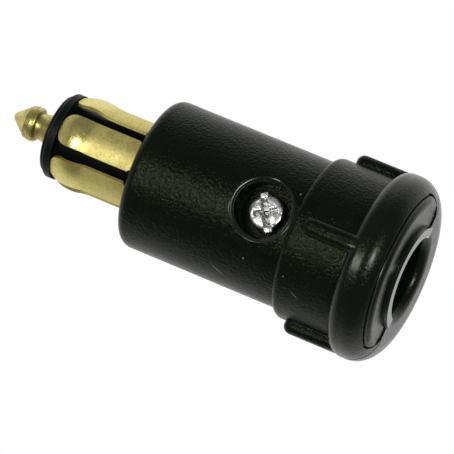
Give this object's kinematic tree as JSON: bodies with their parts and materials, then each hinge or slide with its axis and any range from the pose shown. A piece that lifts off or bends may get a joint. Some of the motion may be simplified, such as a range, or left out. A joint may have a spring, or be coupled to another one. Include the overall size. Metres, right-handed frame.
{
  "type": "din power plug",
  "caption": "Small round in-car power plug: sprung brass sleeve and centre pin on a black nose, held in a two-part black housing with a ribbed, flared cable end and one clamping screw.",
  "frame": {"origin": "on the plug's axis, in the rear plane of the cable collar, which is the bottom of the box", "axes": "+Z along the plug from the cable end to the tip of the pin; the housing parts at y = 0 and the housing screw is on the -Y side"},
  "size_m": [0.0246, 0.0246, 0.0564],
  "materials": {
    "brass": "bright stamped and turned brass, lightly speckled",
    "black_plastic": "moulded, fine grain, slight sheen",
    "zinc_steel": "bright zinc plate"
  },
  "bodies": {
    "root": {"centre_pin": "brass", "nose_insulator": "black_plastic", "sleeve_contact": "brass", "screw_shell": "black_plastic", "boss_shell": "black_plastic", "housing_screw": "zinc_steel", "pin_terminal_screw": "zinc_steel", "sleeve_terminal_screw": "zinc_steel"}
  },
  "joints": []
}
